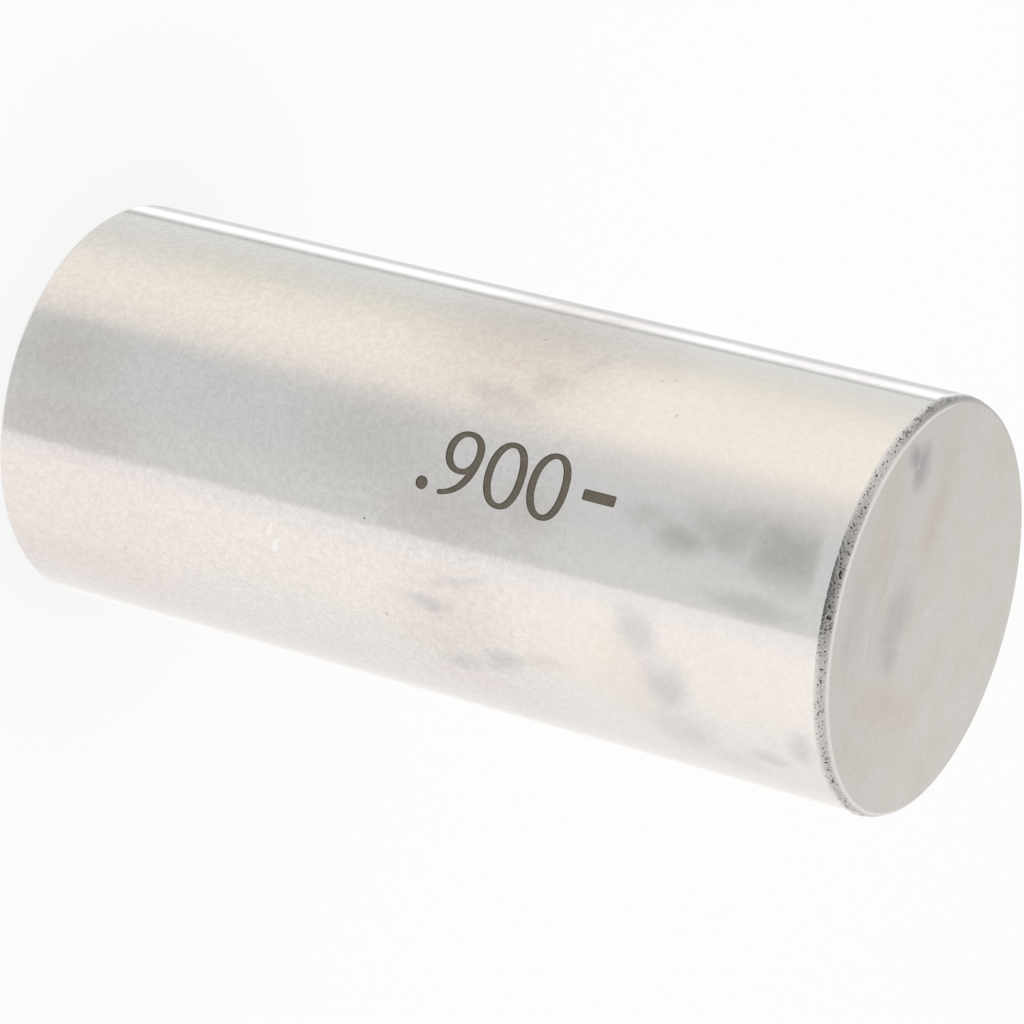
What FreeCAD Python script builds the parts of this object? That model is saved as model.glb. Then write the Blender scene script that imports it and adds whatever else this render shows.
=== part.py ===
"""Pin gauge: one hardened steel pin, ground to size, standing on its plain end.

The pin is turned and ground in one piece, so it is a single solid. Its go end, at the top, has a
short rounded lead that eases it into a bore. Its foot has only a small broken edge. The origin
is the centre of the foot and +Z runs up the pin. All sizes are in millimetres.
"""
import FreeCAD, Part
import math
import os
import Sketcher

NODE = "gauge_pin"
PARTS_FOLDER = "parts"

# The driving dimensions: alias, size and what it measures. Each can be changed by itself.
DIMENSIONS = (
    ("gauge_diameter", 22.86, "ground diameter, 0.900 inch"),
    ("pin_length", 52.4, "overall length"),
    ("lead_height", 0.71, "height of the rounded lead"),
    ("lead_depth", 0.285, "how far the lead draws in where it meets the top face"),
    ("lead_radius", 1.5, "radius of the lead's convex profile"),
    ("foot_edge", 0.2, "radius of the broken edge round the foot"),
)

# Largest share by which the pin's volume may differ from its section turned about the axis.
VOLUME_TOLERANCE = 1e-6

# Ends of a sketch line or arc, and the sketch's own origin, as constraints name them.
START = 1
END = 2
SKETCH_ORIGIN = (-1, 1)
UP = FreeCAD.Vector(0, 0, 1)


def add_sheet(doc):
    """Put each driving dimension in a cell with its alias."""
    sheet = doc.addObject("Spreadsheet::Sheet", "Dimensions")
    for row, (alias, size, meaning) in enumerate(DIMENSIONS, start=1):
        sheet.set(f"A{row}", meaning)
        sheet.set(f"B{row}", str(size))
        sheet.setAlias(f"B{row}", alias)
    doc.recompute()
    return sheet


def arc_through(start, end, radius):
    """Arc that runs anticlockwise from start to end and bulges away from the axis."""
    half_chord = (end - start) / 2
    rise = math.sqrt(radius ** 2 - half_chord.Length ** 2)
    towards_axis = UP.cross(half_chord).normalize()
    centre = start + half_chord + towards_axis * rise
    from_centre = [point - centre for point in (start, end)]
    angles = [math.atan2(spoke.y, spoke.x) for spoke in from_centre]
    return Part.ArcOfCircle(Part.Circle(centre, UP, radius), *angles)


def draw_half_section(sketch, sheet):
    """Draw foot, broken edge, wall, lead, top face and axis, in order, as one closed outline."""
    radius = sheet.gauge_diameter / 2
    length = sheet.pin_length
    foot_centre = FreeCAD.Vector(0, 0)
    foot_rim = FreeCAD.Vector(radius - sheet.foot_edge, 0)
    wall_foot = FreeCAD.Vector(radius, sheet.foot_edge)
    wall_top = FreeCAD.Vector(radius, length - sheet.lead_height)
    face_rim = FreeCAD.Vector(radius - sheet.lead_depth, length)
    face_centre = FreeCAD.Vector(0, length)
    foot = sketch.addGeometry(Part.LineSegment(foot_centre, foot_rim))
    edge = sketch.addGeometry(arc_through(foot_rim, wall_foot, sheet.foot_edge))
    wall = sketch.addGeometry(Part.LineSegment(wall_foot, wall_top))
    lead = sketch.addGeometry(arc_through(wall_top, face_rim, sheet.lead_radius))
    face = sketch.addGeometry(Part.LineSegment(face_rim, face_centre))
    axis = sketch.addGeometry(Part.LineSegment(face_centre, foot_centre))

    # The broken edge runs smoothly into the foot and the wall. The other corners are crisp.
    for kind, before, after in (
        ("Tangent", foot, edge),
        ("Tangent", edge, wall),
        ("Coincident", wall, lead),
        ("Coincident", lead, face),
        ("Coincident", face, axis),
        ("Coincident", axis, foot),
    ):
        sketch.addConstraint(Sketcher.Constraint(kind, before, END, after, START))
    sketch.addConstraint(Sketcher.Constraint("Coincident", foot, START, *SKETCH_ORIGIN))
    sketch.addConstraint(Sketcher.Constraint("Horizontal", foot))
    sketch.addConstraint(Sketcher.Constraint("Vertical", wall))
    sketch.addConstraint(Sketcher.Constraint("Horizontal", face))
    sketch.addConstraint(Sketcher.Constraint("Vertical", axis))

    for name, constraint, cell in (
        ("wall_radius", ("DistanceX", *SKETCH_ORIGIN, wall, END, radius), "gauge_diameter / 2"),
        ("length", ("DistanceY", *SKETCH_ORIGIN, face, END, length), "pin_length"),
        ("lead_height", ("DistanceY", lead, START, lead, END, sheet.lead_height), "lead_height"),
        ("lead_depth", ("DistanceX", lead, END, lead, START, sheet.lead_depth), "lead_depth"),
        ("lead_radius", ("Radius", lead, sheet.lead_radius), "lead_radius"),
        ("foot_edge", ("Radius", edge, sheet.foot_edge), "foot_edge"),
    ):
        index = sketch.addConstraint(Sketcher.Constraint(*constraint))
        sketch.renameConstraint(index, name)
        sketch.setExpression(f"Constraints.{name}", f"{sheet.Name}.{cell}")


def turn_pin(doc, sheet):
    """Turn the half section once round the pin's axis."""
    body = doc.addObject("PartDesign::Body", "GaugePin")
    body.Label = NODE
    body.Placement = FreeCAD.Placement()
    plane = next(item for item in body.Origin.OriginFeatures if item.Role == "XZ_Plane")
    sketch = body.newObject("Sketcher::SketchObject", "HalfSection")
    sketch.AttachmentSupport = [(plane, "")]
    sketch.MapMode = "FlatFace"
    draw_half_section(sketch, sheet)
    doc.recompute()
    turned = body.newObject("PartDesign::Revolution", "TurnedPin")
    turned.Profile = sketch
    turned.ReferenceAxis = (sketch, ["V_Axis"])
    turned.Angle = 360
    doc.recompute()
    return body, sketch


def check_pin(doc, body, sketch):
    """Stop unless every object is sound and the pin is its section turned about the axis."""
    for item in doc.Objects:
        if {"Invalid", "Error"} & set(item.State):
            raise RuntimeError(f"{item.Label} failed: {item.State}")
    if not sketch.FullyConstrained:
        raise RuntimeError(f"{sketch.Label} is not fully constrained")
    pin = body.Shape
    if pin.isNull() or not pin.isValid() or len(pin.Solids) != 1:
        raise RuntimeError(f"{body.Label} is not one valid solid")
    section = Part.Face(sketch.Shape.Wires[0])
    turned_volume = 2 * math.pi * section.CenterOfGravity.x * section.Area
    if abs(pin.Volume / turned_volume - 1) > VOLUME_TOLERANCE:
        raise RuntimeError(f"{body.Label} holds {pin.Volume} mm3, not {turned_volume}")


def build():
    """Build the pin and write it out under its own name."""
    doc = FreeCAD.newDocument("PinGauge")
    sheet = add_sheet(doc)
    body, sketch = turn_pin(doc, sheet)
    check_pin(doc, body, sketch)
    os.makedirs(PARTS_FOLDER, exist_ok=True)
    body.Shape.exportStep(os.path.join(PARTS_FOLDER, f"{body.Label}.step"))
    print(f"{body.Label}: {body.Shape.Volume:.1f} mm3, {body.Shape.BoundBox}")


build()
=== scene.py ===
"""Looks of a hardened steel pin gauge that stands on its foot.

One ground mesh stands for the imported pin: its wall, the size number etched into it, the pitted
lead at its go end and its two end faces. Sizes are in millimetres until a mesh is made. A place
on the wall is (round, up): its arc from the front, counterclockwise from above, and its height.
"""
import math

import bpy
import numpy as np
from mathutils import Matrix, Vector, noise
from mathutils.geometry import delaunay_2d_cdt


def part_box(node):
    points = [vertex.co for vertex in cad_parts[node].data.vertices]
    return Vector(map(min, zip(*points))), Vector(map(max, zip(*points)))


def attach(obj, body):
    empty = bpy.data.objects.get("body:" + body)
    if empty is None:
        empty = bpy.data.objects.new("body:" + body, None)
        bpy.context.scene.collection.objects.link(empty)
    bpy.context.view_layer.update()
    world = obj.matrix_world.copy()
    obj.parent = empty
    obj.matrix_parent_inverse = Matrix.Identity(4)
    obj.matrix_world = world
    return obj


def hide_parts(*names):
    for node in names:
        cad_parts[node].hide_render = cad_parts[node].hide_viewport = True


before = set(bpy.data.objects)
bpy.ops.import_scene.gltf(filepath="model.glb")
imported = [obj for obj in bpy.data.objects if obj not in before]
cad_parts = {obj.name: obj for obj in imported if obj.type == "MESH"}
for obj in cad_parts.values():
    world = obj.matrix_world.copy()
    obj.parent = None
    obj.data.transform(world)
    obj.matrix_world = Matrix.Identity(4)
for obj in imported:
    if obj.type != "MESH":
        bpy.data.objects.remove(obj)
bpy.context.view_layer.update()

MM = 0.001
NODE = "gauge_pin"

# The pin, as packed, and its turned edges.
PIN_LOW, PIN_HIGH = (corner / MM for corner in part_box(NODE))
RADIUS = (PIN_HIGH.x - PIN_LOW.x) / 2
LENGTH = PIN_HIGH.z - PIN_LOW.z
LEAD_HEIGHT = 0.71
LEAD_DEPTH = 0.285
LEAD_RADIUS = 1.5
FOOT_EDGE = 0.2
FACE_EDGE = 0.16

# How finely each form is meshed.
WALL_COLUMNS = 288
LEAD_COLUMNS = 5 * WALL_COLUMNS
LEAD_ROWS = 16
EDGE_ROWS = 3
LEAD_PIT_DEPTH = 0.035
WALL_STEP = 1.0
MARK_STEP = 0.25
FACE_RING_COLUMNS = (WALL_COLUMNS, WALL_COLUMNS // 2, WALL_COLUMNS // 4, WALL_COLUMNS // 8)
FOOT_ROWS = 4

# The size number: pen widths, depth, and where its characters stand on the wall.
PEN_UPRIGHT = 0.47
PEN_FLAT = 0.31
MARK_DEPTH = 0.03
MARK_BASELINE = 0.66
FIGURE_HEIGHT = 3.66
ZERO_HALF_WIDTH = 0.96
OUTLINE_STEP = 0.07
MARK_CLEARANCE = 0.05
MARK_UP = (26, 40)
MARK_COLUMNS = range(-18, 7)

# The camera: its lens, its angle above the level, its roll, and the pin's middle in its view.
LENS = 160.1
CAMERA_HEIGHT_ANGLE = 28.416
CAMERA_ROLL = 104.674
PIN_IN_VIEW = (-0.431, 0.734, -251.56)

# The studio, by the direction in which the pin sees it. The low cards hang from the floor up to
# the level and run round the pin as (start, end, colour). Start and end are (angle from the
# front seen from the foot, the same from the top, softness at the foot, softness at the top),
# in degrees. A card with no end runs on to the next.
LOW_CARDS = (
    ((-152.5, -152.5, 6, 6), None, (1.48, 1.48, 1.48)),
    ((-138, -138.5, 5, 5), None, (0.50, 0.50, 0.50)),
    ((-132.9, -134.7, 0.6, 0.8), None, (0.99, 0.98, 0.95)),
    ((-88, -104, 24, 24), None, (1.25, 1.17, 1.07)),
    ((-52, -40, 16, 16), None, (1.07, 1.02, 0.97)),
    ((-40.5, -40, 3, 16), None, (0.92, 0.90, 0.88)),
    ((-38, -22, 3, 8), None, (0.85, 0.855, 0.85)),
    ((10, 10, 14, 14), None, (0.92, 0.915, 0.90)),
    ((34.7, 30.8, 0.5, 0.5), None, (1.20, 1.155, 1.135)),
    ((44, 40, 8, 8), None, (1.28, 1.21, 1.17)),
    ((105, 105, 45, 45), None, (1.09, 1.06, 1.04)),
    ((158, 158, 8, 8), None, (1.14, 1.12, 1.11)),
)
# Boards round the level, as ((left, right, softness) in degrees, (low, high, softness, lean) as
# the sine of the height above the level and its rise per degree, shade).
LEVEL_BOARDS = (
    ((-175, -86, 7), (-0.89, 0.42, 0.05, 0.0125), 0.56),
    ((-47, 37, 9), (-0.60, 0.60, 0.08, 0), 0.64),
    ((-21, 21, 16), (-0.60, 0.40, 0.15, 0), 0.385),
    ((-6, 25, 6), (-0.60, 0.10, 0.11, 0), 0.11),
    ((-28, 29, 3), (-0.60, -0.01, 0.05, 0), 0.10),
)
FIRST_LOW_SHADE = (0.79, 0.79, 0.79)
LEVEL_SHADE = (0.90, 0.885, 0.87)
UPPER_SHADE = (0.90, 0.875, 0.85)
# Heights above the level, as sines: where the pin's foot and top see the low cards, and where
# the low cards give way to the level ones and those to the upper ones.
FOOT_TO_TOP = (-0.566, -0.418)
LOW_TO_LEVEL = (-0.30, -0.22)
LEVEL_TO_UPPER = (0.36, 0.50)
LAMP_WATTS = 1.0
LAMP_SIZE = 0.5
LAMP_HEIGHT = 0.6
FLOOR_REACH = 3.0
FLOOR_PAPER = (0.85, 0.85, 0.85, 1)
FLOOR_GLOW = 0.78

# Material of each face of the mesh, in the order of its slots.
WALL, MARK, LEAD, FACE, FOOT = range(5)


# ---------------------------------------------------------------- the size number


def pen_width(direction):
    """A broad pen draws upright strokes thick and flat strokes thin."""
    flat = abs(direction.x)
    upright = abs(direction.y)
    return math.hypot(PEN_UPRIGHT * upright, PEN_FLAT * flat)


def closed_stroke(centre, half_width, half_height, squareness):
    """Outer and inner outline and spine of a pen stroke round a rounded ring."""
    spine = []
    perimeter = math.pi * (half_width + half_height)
    count = round(perimeter / OUTLINE_STEP)
    for step in range(count):
        turn = 2 * math.pi * step / count
        across = math.copysign(abs(math.cos(turn)) ** (2 / squareness), math.cos(turn))
        along = math.copysign(abs(math.sin(turn)) ** (2 / squareness), math.sin(turn))
        spine.append(centre + Vector((half_width * across, half_height * along)))
    outer, inner = [], []
    for before, here, after in zip(spine[-1:] + spine[:-1], spine, spine[1:] + spine[:1]):
        direction = (after - before).normalized()
        outward = Vector((direction.y, -direction.x))
        half = pen_width(direction) / 2
        outer.append(here + outward * half)
        inner.append(here - outward * half)
    return outer, inner, spine


def open_stroke(start, bend_out, bend_in, end, end_width):
    """Outline and spine of a pen stroke along a curve, with a rounded far end."""
    count = 28
    spine, sides = [], ([], [])
    for step in range(count + 1):
        t = step / count
        terms = ((1 - t) ** 3, 3 * t * (1 - t) ** 2, 3 * t ** 2 * (1 - t), t ** 3)
        here = sum((p * w for p, w in zip((start, bend_out, bend_in, end), terms)), Vector((0, 0)))
        slopes = ((bend_out - start) * (1 - t) ** 2, (bend_in - bend_out) * 2 * t * (1 - t),
                  (end - bend_in) * t ** 2)
        direction = sum(slopes, Vector((0, 0))).normalized()
        half = (pen_width(direction) * (1 - t ** 3) + end_width * t ** 3) / 2
        outward = Vector((direction.y, -direction.x))
        spine.append(here)
        sides[0].append(here + outward * half)
        sides[1].append(here - outward * half)
    angle = math.atan2(outward.y, outward.x)
    cap = [end + Vector((math.cos(angle + math.pi * k / 8), math.sin(angle + math.pi * k / 8))) * half
           for k in range(1, 8)]
    return sides[0] + cap + sides[1][::-1], None, spine


def dot(centre, radius):
    """Outline and spine of a round dot."""
    count = 32
    turns = [2 * math.pi * step / count for step in range(count)]
    return [centre + Vector((math.cos(t), math.sin(t))) * radius for t in turns], None, [centre]


def dash(centre, half_length, half_width, corner):
    """Outline and spine of a dash with rounded corners."""
    outline = []
    for quarter, (x, y) in enumerate(((1, 1), (-1, 1), (-1, -1), (1, -1))):
        pivot = centre + Vector((x * (half_length - corner), y * (half_width - corner)))
        for step in range(5):
            turn = math.pi / 2 * (quarter + step / 4)
            outline.append(pivot + Vector((math.cos(turn), math.sin(turn))) * corner)
    reach = half_length - half_width
    spine = [centre + Vector((reach * k / 6, 0)) for k in range(-6, 7)]
    return outline, None, spine


def size_number():
    """The strokes of the size number in its own frame: x along the line, y up from its base."""
    middle = FIGURE_HEIGHT / 2
    half_height = middle - PEN_FLAT / 2
    first_zero, second_zero = (
        closed_stroke(Vector((x, middle)), ZERO_HALF_WIDTH, half_height, 2.15) for x in (32.09, 34.745))
    bowl = Vector((29.385, FIGURE_HEIGHT - PEN_FLAT / 2 - 1.035))
    tail_start = bowl + Vector((0.9, 0))
    return [
        dot(Vector((27.35, 0.37)), 0.365),
        closed_stroke(bowl, 0.9, 1.035, 2.1),
        open_stroke(tail_start, tail_start + Vector((-0.03, -1.2)), Vector((29.62, 0.28)),
                    Vector((28.5, 0.13)), 0.27),
        first_zero,
        second_zero,
        dash(Vector((37.8, 1.9)), 0.975, 0.3, 0.1),
    ]


# ---------------------------------------------------------------- the mesh


def wall_place(round_, up, radius=RADIUS):
    """A place on the wall, or on a narrower ring inside it."""
    turn = round_ / RADIUS
    return Vector((radius * math.sin(turn), -radius * math.cos(turn), up))


def outward(place):
    """The direction straight away from the pin's axis."""
    return Vector((place.x, place.y, 0)).normalized()


def curve_points(middle, radius, start, end, count):
    """Points of an arc in the pin's half section, and the slope of the skin at each."""
    turns = [start + (end - start) * step / count for step in range(count + 1)]
    return [(middle + Vector((math.cos(t), math.sin(t))) * radius, t) for t in turns]


def lead_section():
    """The lead from the wall to the face, with its sharp edge broken, as (point, slope) pairs."""
    low = Vector((RADIUS, LENGTH - LEAD_HEIGHT))
    high = Vector((RADIUS - LEAD_DEPTH, LENGTH))
    chord = high - low
    inward = Vector((-chord.y, chord.x)).normalized()
    middle = (low + high) / 2 + inward * math.sqrt(LEAD_RADIUS ** 2 - chord.length_squared / 4)
    edge_up = LENGTH - FACE_EDGE - middle.y
    edge_middle = middle + Vector((math.sqrt((LEAD_RADIUS - FACE_EDGE) ** 2 - edge_up ** 2), edge_up))
    start = math.atan2(low.y - middle.y, low.x - middle.x)
    turn = math.atan2(edge_up, edge_middle.x - middle.x)
    lead = curve_points(middle, LEAD_RADIUS, start, turn, LEAD_ROWS - EDGE_ROWS)
    return lead + curve_points(edge_middle, FACE_EDGE, turn, math.pi / 2, EDGE_ROWS)[1:]


class Skin:
    """The pin's surface while it is made: places, shades, faces and the normal of each corner."""

    def __init__(self):
        self.places = []
        self.shades = []
        self.faces = []
        self.slots = []
        self.normals = []

    def add_place(self, place, shade=0.0):
        self.places.append(place)
        self.shades.append(shade)
        return len(self.places) - 1

    def add_ring(self, radius, up, columns):
        """A level ring of places, counterclockwise from the front."""
        turns = (2 * math.pi * column / columns for column in range(columns))
        return [self.add_place(wall_place(turn * RADIUS, up, radius)) for turn in turns]

    def add_face(self, corners, slot, normal):
        """normal is one direction for the whole face, or a function of a corner's place."""
        self.faces.append(corners)
        self.slots.append(slot)
        for corner in corners:
            self.normals.append(normal(self.places[corner]) if callable(normal) else normal)

    def add_cell(self, low, high, cell, slot, normal):
        """One face between two rings that share their front; one may have several times more places."""
        corners = []
        for ring, step in ((low, 1), (high, -1)):
            share = len(ring) // min(len(low), len(high))
            corners += [ring[(cell * share + k) % len(ring)] for k in range(share + 1)][::step]
        self.add_face(corners, slot, normal)

    def add_band(self, low, high, slot, normal):
        for cell in range(min(len(low), len(high))):
            self.add_cell(low, high, cell, slot, normal)

    def add_disc(self, rim, facing, slot):
        """A flat end face inside its rim; facing is 1 for up and -1 for down."""
        normal = Vector((0, 0, facing))
        place = self.places[rim[0]]
        rings = [rim]
        for count, columns in enumerate(FACE_RING_COLUMNS):
            radius = math.hypot(place.x, place.y) * (0.97 - 0.9 * count / len(FACE_RING_COLUMNS))
            rings.append(self.add_ring(radius, place.z, columns))
        rings.append([self.add_place(Vector((0, 0, place.z)))])
        for outer, inner in zip(rings, rings[1:-1]):
            self.add_band(*(outer, inner)[::facing], slot, normal)
        last = rings[-2]
        for here, after in zip(last, last[1:] + last[:1]):
            self.add_face([here, after][::facing] + rings[-1], slot, normal)

    def to_object(self, name, materials):
        """One Blender object in metres, with its materials, shades and corner normals."""
        mesh = bpy.data.meshes.new(name)
        mesh.from_pydata([place * MM for place in self.places], [], self.faces)
        for material in materials:
            mesh.materials.append(material)
        mesh.polygons.foreach_set("material_index", self.slots)
        mesh.polygons.foreach_set("use_smooth", [True] * len(self.faces))
        mesh.attributes.new("shade", "FLOAT", "POINT").data.foreach_set("value", self.shades)
        mesh.normals_split_custom_set(self.normals)
        made = bpy.data.objects.new(name, mesh)
        bpy.context.scene.collection.objects.link(made)
        return made


def add_foot(skin):
    """The broken edge of the foot and the foot's face; gives back the ring under the wall."""
    middle = Vector((RADIUS - FOOT_EDGE, FOOT_EDGE))
    section = curve_points(middle, FOOT_EDGE, -math.pi / 2, 0, FOOT_ROWS)
    rings = [skin.add_ring(point.x, point.y, WALL_COLUMNS) for point, _ in section]

    def rounded(place):
        away = outward(place)
        return (place - away * middle.x - Vector((0, 0, middle.y))).normalized()

    for low, high in zip(rings, rings[1:]):
        skin.add_band(low, high, WALL, rounded)
    skin.add_disc(rings[0], -1, FOOT)
    return rings[-1]


def add_lead(skin):
    """The pitted lead and the go face; gives back the ring above the wall."""
    section = lead_section()
    turns = [2 * math.pi * column / LEAD_COLUMNS for column in range(LEAD_COLUMNS)]
    rows = np.zeros((len(section), LEAD_COLUMNS, 3))
    shades = np.zeros((len(section), LEAD_COLUMNS))
    for row, (point, slope) in enumerate(section):
        within = math.sin(math.pi * min(row / (LEAD_ROWS - EDGE_ROWS), 1)) ** 0.5
        for column, turn in enumerate(turns):
            away = Vector((math.sin(turn), -math.cos(turn), 0))
            normal = away * math.cos(slope) + Vector((0, 0, math.sin(slope)))
            place = away * point.x + Vector((0, 0, point.y))
            pit = pit_depth(place) * within
            rows[row, column] = place - normal * (LEAD_PIT_DEPTH * pit)
            shades[row, column] = pit
    along = np.roll(rows, -1, axis=1) - np.roll(rows, 1, axis=1)
    across = np.gradient(rows, axis=0)
    normals = np.cross(along, across)
    normals /= np.linalg.norm(normals, axis=2, keepdims=True)
    rings = [[skin.add_place(Vector(rows[row, column]), shades[row, column])
              for column in range(LEAD_COLUMNS)] for row in range(len(section))]
    normal_of = {rings[row][column]: Vector(normals[row, column])
                 for row in range(len(section)) for column in range(LEAD_COLUMNS)}
    for low, high in zip(rings, rings[1:]):
        for cell in range(LEAD_COLUMNS):
            after = (cell + 1) % LEAD_COLUMNS
            corners = [low[cell], low[after], high[after], high[cell]]
            skin.faces.append(corners)
            skin.slots.append(LEAD)
            skin.normals += [normal_of[corner] for corner in corners]
    skin.add_disc(rings[-1], 1, FACE)
    return rings[0]


def pit_depth(place):
    """From 0 on sound metal to 1 in a pit of the lead."""
    rough = noise.noise(place * 1.6) * 0.5 + noise.noise(place * 5) * 0.5
    pocks = noise.noise(place * 11 + Vector((7, 3, 1)))
    return min(max(rough * 0.5 + 0.2, 0) + max(pocks - 0.25, 0) * 2.2, 1)


def near_outline(place, strokes):
    """True if a grid place lies so close to a stroke that it would leave a sliver."""
    return any((place - point).length < MARK_CLEARANCE
               for outline, hole, spine in strokes for point in outline + (hole or []) + spine)


def add_marked_zone(skin, rings, heights):
    """Fill the wall round the size number, with its strokes sunk into it."""
    step = 2 * math.pi * RADIUS / WALL_COLUMNS
    strokes = [[loop and [Vector((MARK_BASELINE - p.y, p.x)) for p in loop] for loop in stroke]
               for stroke in size_number()]
    flat, border = [], {}
    for row, up in enumerate(heights):
        for column in MARK_COLUMNS:
            place = Vector((column * step, up))
            if row in (0, len(heights) - 1) or column in (MARK_COLUMNS[0], MARK_COLUMNS[-1]):
                border[len(flat)] = rings[row][column % WALL_COLUMNS]
                flat.append(place)
            elif not near_outline(place, strokes):
                flat.append(place)
    loops, inks = [], []
    for outline, hole, spine in strokes:
        inks.append((len(loops), len(loops) + 1 if hole else None))
        for loop in filter(None, (outline, hole)):
            loops.append(list(range(len(flat), len(flat) + len(loop))))
            flat += loop
        flat += spine
    spread, _, triangles, sources, _, within = delaunay_2d_cdt(flat, [], loops, 0, 1e-6)

    inked = [any(ink in inside and hole not in inside for ink, hole in inks) for inside in within]
    surface, floor = {}, {}
    for triangle, dark in zip(triangles, inked):
        for corner in triangle:
            (floor if dark else surface)[corner] = None
    rim = {corner for corner in floor if corner in surface}
    for corner in surface:
        known = [border[source] for source in sources[corner] if source in border]
        surface[corner] = known[0] if known else skin.add_place(wall_place(*spread[corner]))
    for corner in floor:
        sunk = wall_place(*spread[corner], RADIUS - MARK_DEPTH)
        # a shade of 1 marks the floor's rim, which the mark's material darkens as painted shade
        floor[corner] = skin.add_place(sunk, 1.0 if corner in rim else 0.0)
    edges = set()
    for triangle, dark in zip(triangles, inked):
        level = floor if dark else surface
        skin.add_face([level[corner] for corner in triangle], MARK if dark else WALL, outward)
        if dark:
            edges |= set(zip(triangle, triangle[1:] + triangle[:1]))
    for start, end in sorted(edge for edge in edges if edge[::-1] not in edges):
        along = skin.places[surface[end]] - skin.places[surface[start]]
        normal = outward(skin.places[surface[start]]).cross(along).normalized()
        skin.add_face([surface[start], surface[end], floor[end], floor[start]], MARK, normal)


def ground_pin(materials):
    """The whole pin as one closed skin."""
    skin = Skin()
    foot_ring = add_foot(skin)
    lead_ring = add_lead(skin)
    top = LENGTH - LEAD_HEIGHT
    heights = [*np.arange(WALL_STEP, MARK_UP[0], WALL_STEP),
               *np.arange(MARK_UP[0], MARK_UP[1], MARK_STEP),
               *np.arange(MARK_UP[1], top - WALL_STEP / 3, WALL_STEP)]
    rings = [skin.add_ring(RADIUS, up, WALL_COLUMNS) for up in heights]
    marked = [row for row, up in enumerate(heights) if MARK_UP[0] <= up <= MARK_UP[1]]
    unmarked = {column % WALL_COLUMNS for column in MARK_COLUMNS[:-1]}
    for row, (low, high) in enumerate(zip([foot_ring] + rings, rings + [lead_ring])):
        in_zone = marked[0] < row <= marked[-1]
        for cell in range(WALL_COLUMNS):
            if not (in_zone and cell in unmarked):
                skin.add_cell(low, high, cell, WALL, outward)
    add_marked_zone(skin, [rings[row] for row in marked], [heights[row] for row in marked])
    return skin.to_object("ground_pin", materials)


# ---------------------------------------------------------------- shader nodes as expressions


class Value:
    """One output of a shader node; arithmetic on it adds Math nodes."""

    def __init__(self, nodes, node, output=0):
        self.nodes = nodes
        self.node = node
        self.output = output

    @property
    def socket(self):
        return self.node.outputs[self.output]

    def parts(self):
        """The x, y and z of a vector."""
        split = self.nodes.add("ShaderNodeSeparateXYZ", None, {0: self}).node
        return [Value(self.nodes, split, axis) for axis in range(3)]

    def math(self, operation, *terms):
        return self.nodes.add("ShaderNodeMath", {"operation": operation}, dict(enumerate(terms)))

    def __add__(self, other):
        return self.math("ADD", self, other)

    def __sub__(self, other):
        return self.math("SUBTRACT", self, other)

    def __rsub__(self, other):
        return self.math("SUBTRACT", other, self)

    def __mul__(self, other):
        return self.math("MULTIPLY", self, other)

    def __truediv__(self, other):
        return self.math("DIVIDE", self, other)

    __radd__ = __add__
    __rmul__ = __mul__


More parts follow.
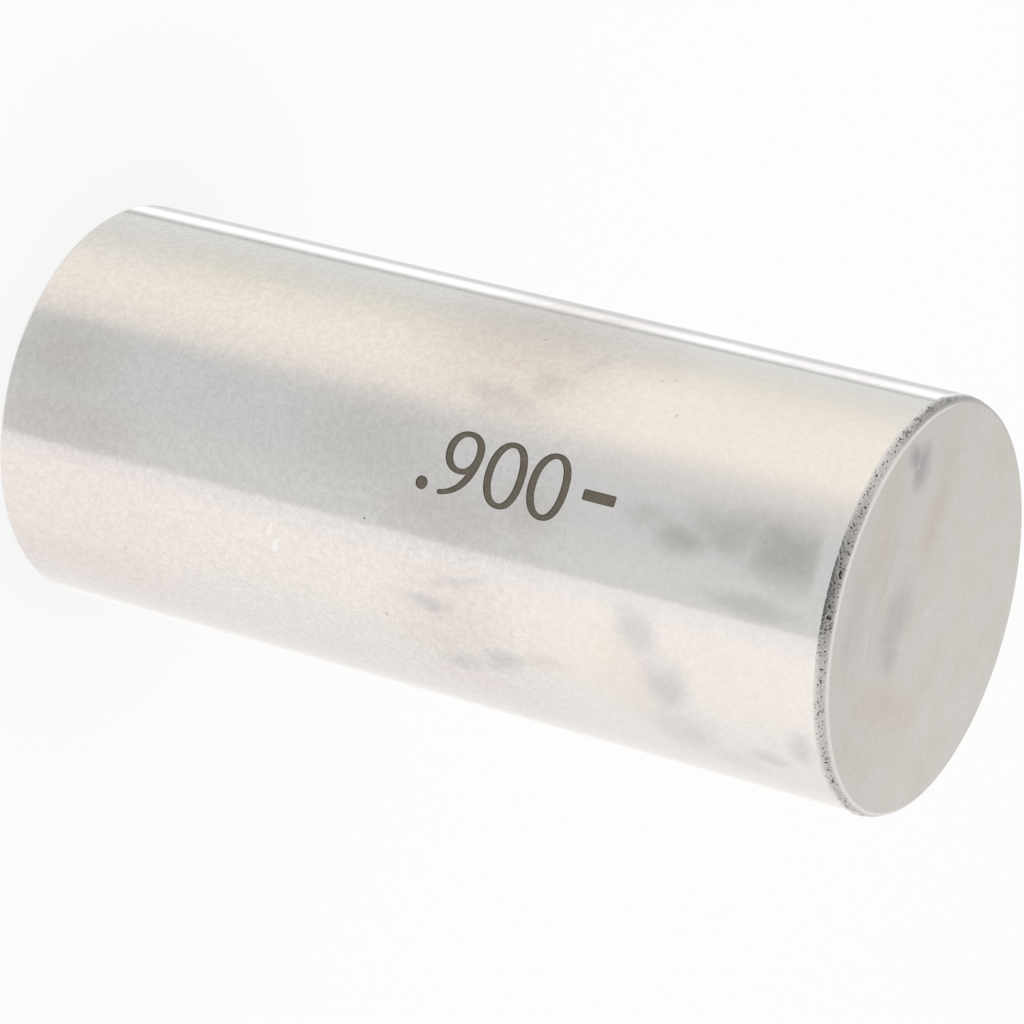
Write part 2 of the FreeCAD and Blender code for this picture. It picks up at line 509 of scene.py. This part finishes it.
class Nodes:
    """A node tree that is filled from Python."""

    def __init__(self, tree):
        self.tree = tree
        tree.nodes.clear()

    def add(self, kind, settings=None, inputs=None, output=0):
        """One node: its settings first, then the value or link of each socket."""
        node = self.tree.nodes.new(kind)
        for name, value in (settings or {}).items():
            setattr(node, name, value)
        for name, value in (inputs or {}).items():
            if isinstance(value, Value):
                self.tree.links.new(value.socket, node.inputs[name])
            else:
                node.inputs[name].default_value = value
        return Value(self, node, output)

    def mix(self, share, low, high):
        """A colour from low at share 0 to high at share 1."""
        return self.add("ShaderNodeMix", {"data_type": "RGBA"}, {0: share, 6: low, 7: high}, 2)

    def tint(self, share, colour, stain):
        """A colour dulled by a stain where share is 1."""
        settings = {"data_type": "RGBA", "blend_type": "MULTIPLY"}
        return self.add("ShaderNodeMix", settings, {0: share, 6: colour, 7: stain}, 2)

    def vector(self, operation, first, second, output=0):
        return self.add("ShaderNodeVectorMath", {"operation": operation}, {0: first, 1: second}, output)

    def rise(self, value, low, high):
        """From 0 below low to 1 above high, with soft ends."""
        return self.add("ShaderNodeMapRange", {"interpolation_type": "SMOOTHSTEP"},
                        {"Value": value, "From Min": low, "From Max": high})

    def ramp(self, value, low, high):
        """From 0 below low to 1 above high, straight between."""
        return self.add("ShaderNodeMapRange", None, {"Value": value, "From Min": low, "From Max": high})

    def fall(self, value, low, high):
        return 1 - self.rise(value, low, high)

    def scale(self, vector, factor):
        return self.add("ShaderNodeVectorMath", {"operation": "SCALE"}, {0: vector, "Scale": factor})

    def noise(self, place, size, detail=2.0, roughness=0.5, colour=False):
        """Smooth noise about 0.5, with lumps of the given size in the place's own units."""
        return self.add("ShaderNodeTexNoise", None, {
            "Vector": place, "Scale": 1 / size, "Detail": detail, "Roughness": roughness}, int(colour))

    def stray(self, flat, place, size, reach):
        """A flat place pushed about, so that what is laid on it gets a ragged edge."""
        push = self.vector("SUBTRACT", self.noise(place, size, 5, 0.6, colour=True), (0.5, 0.5, 0.5))
        return self.vector("ADD", flat, self.scale(push, reach))

    def patch(self, flat, up, round_, half_up, half_round, lean, strength):
        """A soft oval on the flat frame, from its strength in the middle to 0 at its edge."""
        turn = math.radians(lean)
        squares = []
        for axis in (Vector((math.cos(turn), math.sin(turn), 0)) / half_round,
                     Vector((-math.sin(turn), math.cos(turn), 0)) / half_up):
            off = self.vector("DOT_PRODUCT", flat, axis, 1) - axis.dot(Vector((round_, up, 0)))
            squares.append(off * off)
        reach = self.add("ShaderNodeMath", {"operation": "SQRT"}, {0: squares[0] + squares[1]})
        return self.fall(reach, 0.1, 1.1) * strength

    def patches(self, flat, ovals):
        """The cover of several ovals together."""
        cover = self.patch(flat, *ovals[0])
        for oval in ovals[1:]:
            cover = cover.math("MAXIMUM", cover, self.patch(flat, *oval))
        return cover

    def bump(self, height, depth):
        """A normal that follows height, where 1 stands for the depth in mm."""
        inputs = {"Height": height, "Distance": depth * MM, "Strength": 1.0}
        return self.add("ShaderNodeBump", None, inputs)

    def finish(self, **inputs):
        """The surface: one Principled shader."""
        sockets = {name.replace("_", " ").title(): value for name, value in inputs.items()}
        surface = self.add("ShaderNodeBsdfPrincipled", None, sockets)
        self.add("ShaderNodeOutputMaterial", None, {"Surface": surface})


def new_material(name):
    material = bpy.data.materials.new(name)
    material.use_nodes = True
    return material, Nodes(material.node_tree)


def pin_place(nodes):
    """The place on the pin in mm, and its x, y and z."""
    metres = nodes.add("ShaderNodeTexCoord", output=3)
    place = nodes.scale(metres, 1 / MM)
    return place, *place.parts()


def wall_frame(nodes, x, y, z):
    """The place on the unrolled wall, as (round, up)."""
    return nodes.add("ShaderNodeCombineXYZ", None, {0: x.math("ARCTAN2", x, 0 - y) * RADIUS, 1: z})


# ---------------------------------------------------------------- the finishes

# Stains of the wall. Each oval is (up, round, half height, half width, lean, strength), in mm
# and degrees; its half height runs along the pin and a positive lean turns it counterclockwise.
BROWN_FILM = (
    (3.0, -1.6, 5.5, 3.4, 0, 0.75),
    (4.0, 2.0, 7.5, 2.4, 0, 0.85),
    (24.0, -1.5, 6.5, 4.0, 0, 0.50),
    (29.0, 1.6, 5.5, 2.4, 0, 0.90),
    (33.8, 0.6, 3.0, 2.6, 0, 0.80),
    (29.5, -9.5, 8.5, 6.5, 0, 1.00),
    (36.8, -10.5, 3.5, 2.6, 0, 0.55),
    (29.5, 7.5, 5.0, 4.5, 0, 0.60),
    (35.5, 8.7, 2.6, 0.9, 0, 0.60),
    (41.5, 8.5, 3.2, 4.0, 30, 0.45),
)
GREY_SMUDGES = (
    (49.0, -0.9, 3.3, 2.7, 0, 1.00),
    (45.8, -1.3, 4.0, 1.9, 0, 0.72),
    (43.0, -0.3, 2.4, 1.1, 0, 0.80),
    (41.0, -0.9, 2.4, 1.0, 0, 0.45),
    (47.6, 2.2, 4.2, 0.75, 0, 0.55),
)
BLUE_SMUDGES = (
    (30.2, -5.2, 3.6, 1.1, -6, 0.85),
    (32.4, -6.8, 1.9, 1.7, 0, 0.60),
    (34.0, -9.0, 2.4, 0.6, 52, 0.45),
    (28.4, 6.7, 2.1, 0.65, 0, 0.95),
    (30.5, 5.1, 2.9, 0.45, 10, 0.50),
    (30.3, 10.4, 1.7, 0.9, 10, 0.80),
    (32.9, 9.3, 1.8, 1.0, 22, 0.95),
    (41.2, 5.2, 2.2, 1.6, -40, 1.00),
    (43.1, 7.8, 2.0, 2.4, 0, 0.95),
    (43.8, 11.0, 2.6, 2.4, 0, 0.65),
    (46.5, 12.4, 2.4, 1.3, 0, 0.40),
    (48.7, 11.3, 1.7, 0.8, 0, 0.80),
    (50.7, 9.8, 1.0, 1.6, 0, 1.00),
)
PINK_FILM = (
    (5.0, 10.8, 9.0, 3.2, 0, 1.00),
    (6.0, 6.5, 10.0, 4.5, 0, 0.55),
    (30.5, 11.8, 4.5, 1.4, 0, 0.70),
    (8.0, -6.0, 9.0, 1.8, 0, 0.40),
)
STRAW_FILM = (
    (11.0, -9.7, 11.0, 1.9, 0, 0.80),
    (20.0, -9.9, 7.0, 1.7, 0, 0.80),
    (44.5, -9.5, 9.5, 3.2, 0, 0.75),
    (39.0, 7.0, 2.6, 3.2, 0, 0.70),
    (46.5, 6.5, 4.0, 2.6, 0, 0.50),
)
HEAVY_FILM = (
    (31.5, -14.6, 9.0, 1.5, 0, 1.00),
    (45.0, -14.6, 9.5, 1.4, 0, 0.75),
)
PALE_SCRIBBLES = (
    (44.4, 1.0, 0.30, 0.55, 5, 1),
    (45.5, 1.3, 0.35, 0.50, -15, 1),
    (46.5, 1.2, 0.25, 0.55, 12, 1),
    (47.3, 0.9, 0.35, 0.50, -8, 1),
    (47.9, 1.2, 0.45, 0.40, 20, 1),
    (48.7, 1.0, 0.30, 0.35, 0, 1),
)
SCUFFS = (
    (18.35, 4.9, 0.10, 0.75, -22, 0.6),
    (18.70, 5.8, 0.22, 0.55, -20, 1.0),
    (28.2, 4.0, 0.25, 0.34, 0, 1.0),
    (29.4, 3.75, 0.10, 0.32, 0, 0.8),
    (29.95, 3.7, 0.09, 0.30, 0, 0.8),
    (27.4, 4.2, 0.12, 0.26, 0, 0.5),
)
PIN_PRICKS = (
    (24.3, 2.95, 0.09, 0.09, 0, 1.0),
    (30.2, -10.0, 0.20, 0.08, 30, 0.5),
    (38.0, -8.9, 0.18, 0.08, 30, 0.4),
    (38.6, -9.2, 0.10, 0.14, 0, 0.4),
    (40.0, -6.8, 0.10, 0.12, 0, 0.4),
    (25.7, 8.3, 0.14, 0.14, 0, 0.35),
    (8.3, 8.8, 0.14, 0.14, 0, 0.35),
)

# Stains of the go face, as ovals (back, right, half depth, half width, lean, strength).
FACE_BROWN = (
    (-2.4, -4.5, 1.6, 2.8, -20, 0.90),
    (-2.5, 5.6, 6.0, 1.9, 0, 1.00),
    (-8.0, -3.5, 2.6, 4.2, 0, 0.60),
    (-5.0, 1.0, 3.0, 3.0, 0, 0.40),
)
FACE_BLUE = (
    (-5.4, -7.0, 1.2, 1.7, 12, 1.00),
    (-6.6, -7.3, 1.2, 0.9, -20, 1.00),
    (-3.8, 1.0, 2.1, 3.4, -15, 0.42),
    (-3.4, 3.0, 1.4, 1.2, 0, 0.45),
    (-8.8, 1.5, 1.6, 3.4, 8, 0.20),
)
FACE_STRAW = (
    (4.2, -2.2, 2.4, 1.6, 0, 0.50),
    (-0.6, 7.8, 2.4, 1.0, 0, 0.60),
    (-1.5, -6.5, 1.6, 2.6, 0, 0.40),
)
FACE_ARCS = (
    (-6.2, -1.2, 0.20, 3.2, -6, 0.70),
    (-6.2, 2.6, 0.20, 1.6, 18, 0.60),
    (8.0, 1.0, 0.35, 0.5, 30, 0.35),
    (-9.0, 3.0, 0.35, 0.5, 0, 0.35),
)
FACE_PIPS = (
    (-0.1, 0.2, 0.70, 0.30, 15, 0.50),
    (-5.95, -6.9, 0.12, 0.12, 0, 0.80),
)
STEEL = (0.72, 0.71, 0.70, 1)
FACE_STEEL = (0.715, 0.70, 0.675, 1)


def ground_steel():
    """The ground wall: bright steel under handling film, smudges and a fine orange peel."""
    material, nodes = new_material("ground_steel")
    place, x, y, z = pin_place(nodes)
    wall = wall_frame(nodes, x, y, z)
    torn = nodes.stray(wall, place, 2.2, 1.7)
    frayed = nodes.stray(wall, place, 0.5, 0.5)

    peel = nodes.noise(place, 0.38, 3, 0.7)
    mottle = nodes.noise(place, 1.3, 5, 0.7)
    lay = nodes.noise(nodes.vector("MULTIPLY", place, (0.4, 0.4, 5)), 0.9, 2, 0.5)
    grain = nodes.noise(place, 0.15, 2, 0.6)

    handled = nodes.fall(z, 33, 39)
    speckle = nodes.rise(peel, 0.38, 0.64) * 0.5 + nodes.rise(grain, 0.3, 0.7) * 0.5
    smudged = nodes.patches(torn, GREY_SMUDGES) * nodes.fall(z, 50.5, 51.1)
    blotch = 0.45 + mottle * 1.1
    colour = nodes.tint((1 - speckle) * (0.55 + handled * 0.45), STEEL, (0.86, 0.86, 0.86, 1))
    colour = nodes.tint(nodes.patches(torn, PINK_FILM), colour, (1, 0.955, 0.945, 1))
    colour = nodes.tint(nodes.patches(torn, STRAW_FILM), colour, (1, 0.985, 0.93, 1))
    colour = nodes.tint(nodes.patches(torn, BROWN_FILM) * blotch, colour, (0.885, 0.86, 0.84, 1))
    colour = nodes.tint(smudged * blotch, colour, (0.72, 0.71, 0.70, 1))
    colour = nodes.tint(nodes.patches(torn, BLUE_SMUDGES) * blotch, colour, (0.80, 0.825, 0.85, 1))
    colour = nodes.tint(nodes.patches(torn, HEAVY_FILM) * blotch, colour, (0.74, 0.71, 0.70, 1))
    colour = nodes.mix(nodes.patches(frayed, PALE_SCRIBBLES) * 0.5, colour, STEEL)
    scuff = nodes.patches(wall, SCUFFS)
    prick = nodes.patches(wall, PIN_PRICKS)
    colour = nodes.mix(scuff * 0.9, colour, (0.92, 0.92, 0.92, 1))
    colour = nodes.mix(prick, colour, (0.12, 0.11, 0.10, 1))

    roughness = 0.10 + handled * 0.015 + smudged * 0.03 + scuff * 0.4 + prick * 0.3
    normal = nodes.bump(peel * (0.45 + handled * 0.55) + lay * 0.2, 0.0018)
    nodes.finish(base_color=colour, metallic=1.0, roughness=roughness, normal=normal)
    return material


def etched_mark():
    """The dark, rough floor of the size number, with painted shade that darkens it towards its rim
    beside the sunk walls, and bright specks.
    """
    material, nodes = new_material("etched_mark")
    place = pin_place(nodes)[0]
    rim = nodes.add("ShaderNodeAttribute", {"attribute_name": "shade"}, None, 2)
    cloud = nodes.noise(place, 0.35, 3, 0.6)
    speck = nodes.rise(nodes.noise(place, 0.07, 1, 0.5), 0.62, 0.76)
    colour = nodes.mix(cloud, (0.115, 0.098, 0.074, 1), (0.20, 0.175, 0.14, 1))
    # painted shade: darker towards the rim of each sunk stroke, where its walls would shade the floor
    colour = nodes.tint(nodes.rise(rim, 0.45, 1), colour, (0.62, 0.60, 0.58, 1))
    colour = nodes.mix(speck * 0.5, colour, (0.45, 0.42, 0.38, 1))
    normal = nodes.bump(nodes.noise(place, 0.05, 2, 0.6), 0.01)
    nodes.finish(base_color=colour, metallic=0.25, roughness=0.6, normal=normal)
    return material


def pitted_lead():
    """The lead as turned: bright beside the wall and the face, pitted black between them."""
    material, nodes = new_material("pitted_lead")
    place, _, _, z = pin_place(nodes)
    pit = nodes.add("ShaderNodeAttribute", {"attribute_name": "shade"}, None, 2)
    climb = nodes.ramp(z, LENGTH - LEAD_HEIGHT, LENGTH)
    cloud = nodes.noise(place, 0.6, 4, 0.65)
    grit = nodes.noise(place, 0.10, 2, 0.6)
    worn = nodes.rise(climb, 0.04, 0.45) * nodes.fall(climb, 0.70, 0.96)
    colour = nodes.mix(worn * (0.4 + cloud * 1.2), (0.80, 0.79, 0.77, 1), (0.63, 0.61, 0.59, 1))
    colour = nodes.tint(nodes.fall(grit, 0.30, 0.46) * worn, colour, (0.55, 0.53, 0.52, 1))
    colour = nodes.tint(nodes.rise(pit, 0.30, 0.60), colour, (0.12, 0.11, 0.10, 1))
    normal = nodes.bump(grit, 0.004)
    roughness = 0.17 + worn * 0.08
    nodes.finish(base_color=colour, metallic=1.0, roughness=roughness, normal=normal)
    return material


def lapped(nodes, place):
    """An end face as it was lapped: its colour, roughness and normal."""
    cloud = nodes.noise(place, 3.5, 4, 0.6)
    grain = nodes.noise(place, 0.28, 4, 0.7)
    colour = nodes.tint(nodes.rise(cloud, 0.42, 0.7), FACE_STEEL, (0.965, 0.955, 0.94, 1))
    colour = nodes.tint(nodes.rise(grain, 0.36, 0.66), colour, (0.935, 0.935, 0.93, 1))
    return colour, 0.3 + cloud * 0.08, nodes.bump(grain, 0.0022)


def lapped_face():
    """The go face: lapped flat, stained brown and blue on its front half."""
    material, nodes = new_material("lapped_face")
    place, x, y, _ = pin_place(nodes)
    colour, roughness, normal = lapped(nodes, place)
    flat = nodes.add("ShaderNodeCombineXYZ", None, {0: x, 1: y})
    torn = nodes.stray(flat, place, 1.6, 1.3)
    blotch = 0.4 + nodes.noise(place, 0.9, 4, 0.7) * 1.2
    colour = nodes.tint(nodes.fall(y, -9, 4) * 0.8, colour, (0.925, 0.925, 0.93, 1))
    colour = nodes.tint(nodes.patches(torn, FACE_STRAW) * blotch, colour, (0.985, 0.98, 0.90, 1))
    colour = nodes.tint(nodes.patches(torn, FACE_BROWN) * blotch, colour, (0.975, 0.92, 0.89, 1))
    colour = nodes.tint(nodes.patches(torn, FACE_BLUE) * blotch, colour, (0.66, 0.67, 0.71, 1))
    colour = nodes.tint(nodes.patches(flat, FACE_ARCS) * blotch, colour, (0.88, 0.88, 0.89, 1))
    colour = nodes.mix(nodes.patches(flat, FACE_PIPS), colour, (0.80, 0.79, 0.78, 1))
    nodes.finish(base_color=colour, metallic=1.0, roughness=roughness, normal=normal)
    return material


def lapped_foot():
    """The face that the pin stands on: lapped as the other, with no stain."""
    material, nodes = new_material("lapped_foot")
    place = pin_place(nodes)[0]
    colour, roughness, normal = lapped(nodes, place)
    nodes.finish(base_color=colour, metallic=1.0, roughness=roughness, normal=normal)
    return material


# ---------------------------------------------------------------- the studio


def paint_studio():
    """White to the camera; to the pin, a tent of pale cards."""
    world = bpy.data.worlds.new("studio")
    bpy.context.scene.world = world
    world.use_nodes = True
    nodes = Nodes(world.node_tree)
    direction = nodes.add("ShaderNodeTexCoord", output=0)
    x, y, z = direction.parts()
    turn = x.math("ARCTAN2", x, 0 - y) * (180 / math.pi)
    rising = nodes.ramp(z, *FOOT_TO_TOP)

    def along(foot, top):
        """A number that changes from the foot to the top, if it has to."""
        return foot if foot == top else foot + rising * (top - foot)

    def edge(from_foot, from_top, soft_foot, soft_top):
        """1 past one end of a card, which may stand askew and soften with height."""
        middle, soft = along(from_foot, from_top), along(soft_foot, soft_top)
        return nodes.rise(turn, middle - soft, middle + soft)

    low = (*FIRST_LOW_SHADE, 1)
    for start, end, shade in LOW_CARDS:
        cover = edge(*start) * (1 - edge(*end)) if end else edge(*start)
        low = nodes.mix(cover, low, (*shade, 1))
    level = nodes.mix(nodes.rise(z, *LEVEL_TO_UPPER), (*LEVEL_SHADE, 1), (*UPPER_SHADE, 1))
    for (left, right, soft), (bottom, top, fade, lean), shade in LEVEL_BOARDS:
        foot = z - (turn - left) * lean if lean else z
        cover = nodes.rise(turn, left - soft, left + soft) * nodes.fall(turn, right - soft, right + soft)
        cover = cover * nodes.rise(foot, bottom - fade, bottom + fade)
        cover = cover * nodes.fall(z, top - fade, top + fade)
        level = nodes.mix(cover, level, (shade, shade, shade, 1))
    tent = nodes.mix(nodes.rise(z, *LOW_TO_LEVEL), low, level)
    pale = nodes.add("ShaderNodeBackground", None, {"Color": (1, 1, 1, 1)})
    cards = nodes.add("ShaderNodeBackground", None, {"Color": tent})
    to_camera = nodes.add("ShaderNodeLightPath", output=0)
    seen = nodes.add("ShaderNodeMixShader", None, {0: to_camera, 1: cards, 2: pale})
    nodes.add("ShaderNodeOutputWorld", None, {"Surface": seen})


def lay_floor():
    """A pale floor that keeps the pin's soft shadow."""
    mesh = bpy.data.meshes.new("floor")
    corners = [(x * FLOOR_REACH, y * FLOOR_REACH, 0) for x, y in ((-1, -1), (1, -1), (1, 1), (-1, 1))]
    mesh.from_pydata(corners, [], [(0, 1, 2, 3)])
    floor = bpy.data.objects.new("floor", mesh)
    bpy.context.scene.collection.objects.link(floor)
    floor.visible_glossy = False
    material, nodes = new_material("floor_paper")
    paper = nodes.add("ShaderNodeBsdfDiffuse", None, {"Color": FLOOR_PAPER})
    glow = nodes.add("ShaderNodeEmission", None, {"Color": (1, 1, 1, 1)})
    share = nodes.add("ShaderNodeLightPath", output=0) * FLOOR_GLOW
    surface = nodes.add("ShaderNodeMixShader", None, {0: share, 1: paper, 2: glow})
    nodes.add("ShaderNodeOutputMaterial", None, {"Surface": surface})
    mesh.materials.append(material)


def hang_lamp():
    """A large soft box over the pin."""
    light = bpy.data.lights.new("soft_box", "AREA")
    light.shape = "DISK"
    light.size = LAMP_SIZE
    light.energy = LAMP_WATTS
    lamp = bpy.data.objects.new("soft_box", light)
    lamp.location = (0, 0, LAMP_HEIGHT)
    lamp.visible_glossy = False
    bpy.context.scene.collection.objects.link(lamp)


def place_camera():
    """A long lens that looks down on the pin, rolled so that the pin lies across the view."""
    data = bpy.data.cameras.new("camera")
    data.sensor_width = 36
    data.lens = LENS
    camera = bpy.data.objects.new("camera", data)
    tilt = Matrix.Rotation(math.radians(90 - CAMERA_HEIGHT_ANGLE), 4, "X")
    roll = Matrix.Rotation(math.radians(CAMERA_ROLL), 4, "Z")
    turn = tilt @ roll
    aim = Vector((0, 0, LENGTH / 2)) - turn @ Vector(PIN_IN_VIEW)
    camera.matrix_world = Matrix.Translation(aim * MM) @ turn
    bpy.context.scene.collection.objects.link(camera)
    bpy.context.scene.camera = camera


scene = bpy.context.scene
scene.view_settings.view_transform = "Standard"

pin = ground_pin([ground_steel(), etched_mark(), pitted_lead(), lapped_face(), lapped_foot()])
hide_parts(NODE)
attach(pin, "root")

paint_studio()
lay_floor()
hang_lamp()
place_camera()
